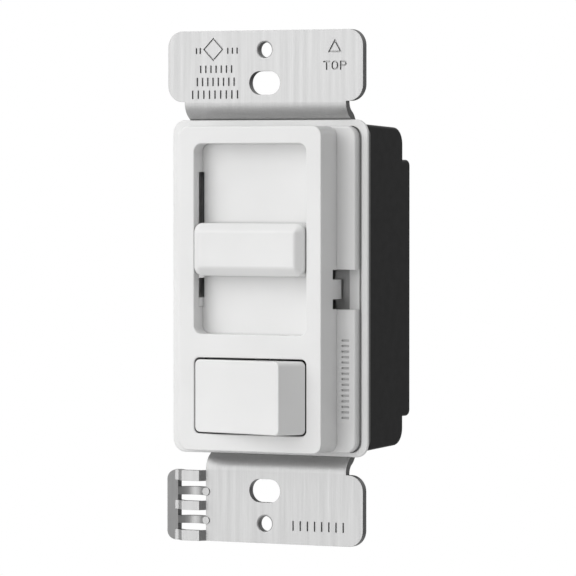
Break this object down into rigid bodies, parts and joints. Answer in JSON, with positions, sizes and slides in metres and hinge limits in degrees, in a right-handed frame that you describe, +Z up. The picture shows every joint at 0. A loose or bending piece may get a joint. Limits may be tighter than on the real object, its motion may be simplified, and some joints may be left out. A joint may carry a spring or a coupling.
{
  "type": "dimmer slide switch",
  "caption": "Wall dimmer on a steel mounting strap: a sliding knob in a recess above a sideways rocking paddle switch, with a rear housing for its circuit.",
  "frame": {"origin": "centre of the wall-plate screw holes and of the box slots, on the front face of the strap's ears", "axes": "+Z up along the strap, +X to the right seen from the front, +Y back into the wall box; the front faces -Y"},
  "size_m": [0.0459, 0.0357, 0.1048],
  "materials": {
    "strap_steel": "brushed",
    "cover_plastic": "satin",
    "bezel_plastic": "satin",
    "knob_plastic": "satin",
    "paddle_plastic": "satin",
    "stop_plastic": "matte",
    "carriage_plastic": "matte",
    "guide_plastic": "matte",
    "cradle_plastic": "matte",
    "plunger_plastic": "matte",
    "spring_steel": "bright",
    "switch_plastic": "matte",
    "contact_brass": "bright",
    "button_silver": "bright",
    "terminal_brass": "bright",
    "housing_plastic": "matte",
    "screw_steel": "bright",
    "bushing_plastic": "matte",
    "lead_terminal_brass": "bright",
    "board_laminate": "satin",
    "pot_metal": "satin",
    "lever_plastic": "matte",
    "triac_epoxy": "matte",
    "triac_metal": "bright",
    "lead_tin": "bright",
    "insulator_film": "satin",
    "rivet_aluminium": "bright",
    "ferrite": "matte",
    "copper_wire": "enamelled",
    "film_case": "gloss",
    "timing_case": "gloss",
    "resistor_body": "gloss",
    "diac_glass": "gloss",
    "fuse_ceramic": "matte",
    "fuse_metal": "bright",
    "trimmer_plastic": "gloss"
  },
  "bodies": {
    "base": {"mounting_strap": "strap_steel", "base_cover": "cover_plastic", "bezel_frame": "bezel_plastic", "slider_guide": "guide_plastic", "travel_stops": "stop_plastic", "potentiometer_case": "pot_metal", "rocker_cradle": "cradle_plastic", "switch_case": "switch_plastic", "common_terminal": "terminal_brass", "traveller_terminals": "terminal_brass", "fixed_contacts": "button_silver", "rear_housing": "housing_plastic", "housing_screws": "screw_steel", "lead_bushings": "bushing_plastic", "circuit_board": "board_laminate", "triac_insulator": "insulator_film", "triac_tab": "triac_metal", "triac": "triac_epoxy", "triac_leads": "lead_tin", "triac_rivet": "rivet_aluminium", "inductor_core": "ferrite", "inductor_winding": "copper_wire", "film_capacitor": "film_case", "timing_capacitor": "timing_case", "resistors": "resistor_body", "diac": "diac_glass", "fuse_body": "fuse_ceramic", "fuse_caps": "fuse_metal", "trim_potentiometer": "trimmer_plastic", "lead_terminals": "lead_terminal_brass"},
    "slider": {"slider_knob": "knob_plastic", "slider_carriage": "carriage_plastic", "potentiometer_lever": "lever_plastic"},
    "paddle": {"rocker_paddle": "paddle_plastic"},
    "plunger": {"rocker_plunger": "plunger_plastic", "plunger_spring": "spring_steel"},
    "seesaw": {"contact_seesaw": "contact_brass", "moving_contacts": "button_silver"}
  },
  "joints": [
    {"name": "slider_travel", "type": "slide", "parent": "base", "child": "slider", "axis": [0, 0, 1], "range_m": [-0.0069, 0.0127]},
    {"name": "paddle_rock", "type": "hinge", "parent": "base", "child": "paddle", "pos_m": [0, -0.0014, -0.02219], "axis": [0, 0, 1], "range_deg": [0, 26.4]},
    {"name": "plunger_press", "type": "slide", "parent": "paddle", "child": "plunger", "axis": [0.2284, 0.9736, 0], "range_m": [-0.0008, 0], "stiffness_N_per_m": 200, "deforming": ["plunger_spring"]},
    {"name": "seesaw_flip", "type": "hinge", "parent": "base", "child": "seesaw", "pos_m": [0, 0.0062, -0.02219], "axis": [0, 0, 1], "range_deg": [-12, 0]}
  ],
  "couplings": [
    {"joint": "seesaw_flip", "follows": "paddle_rock", "ratio": -0.45455}
  ]
}
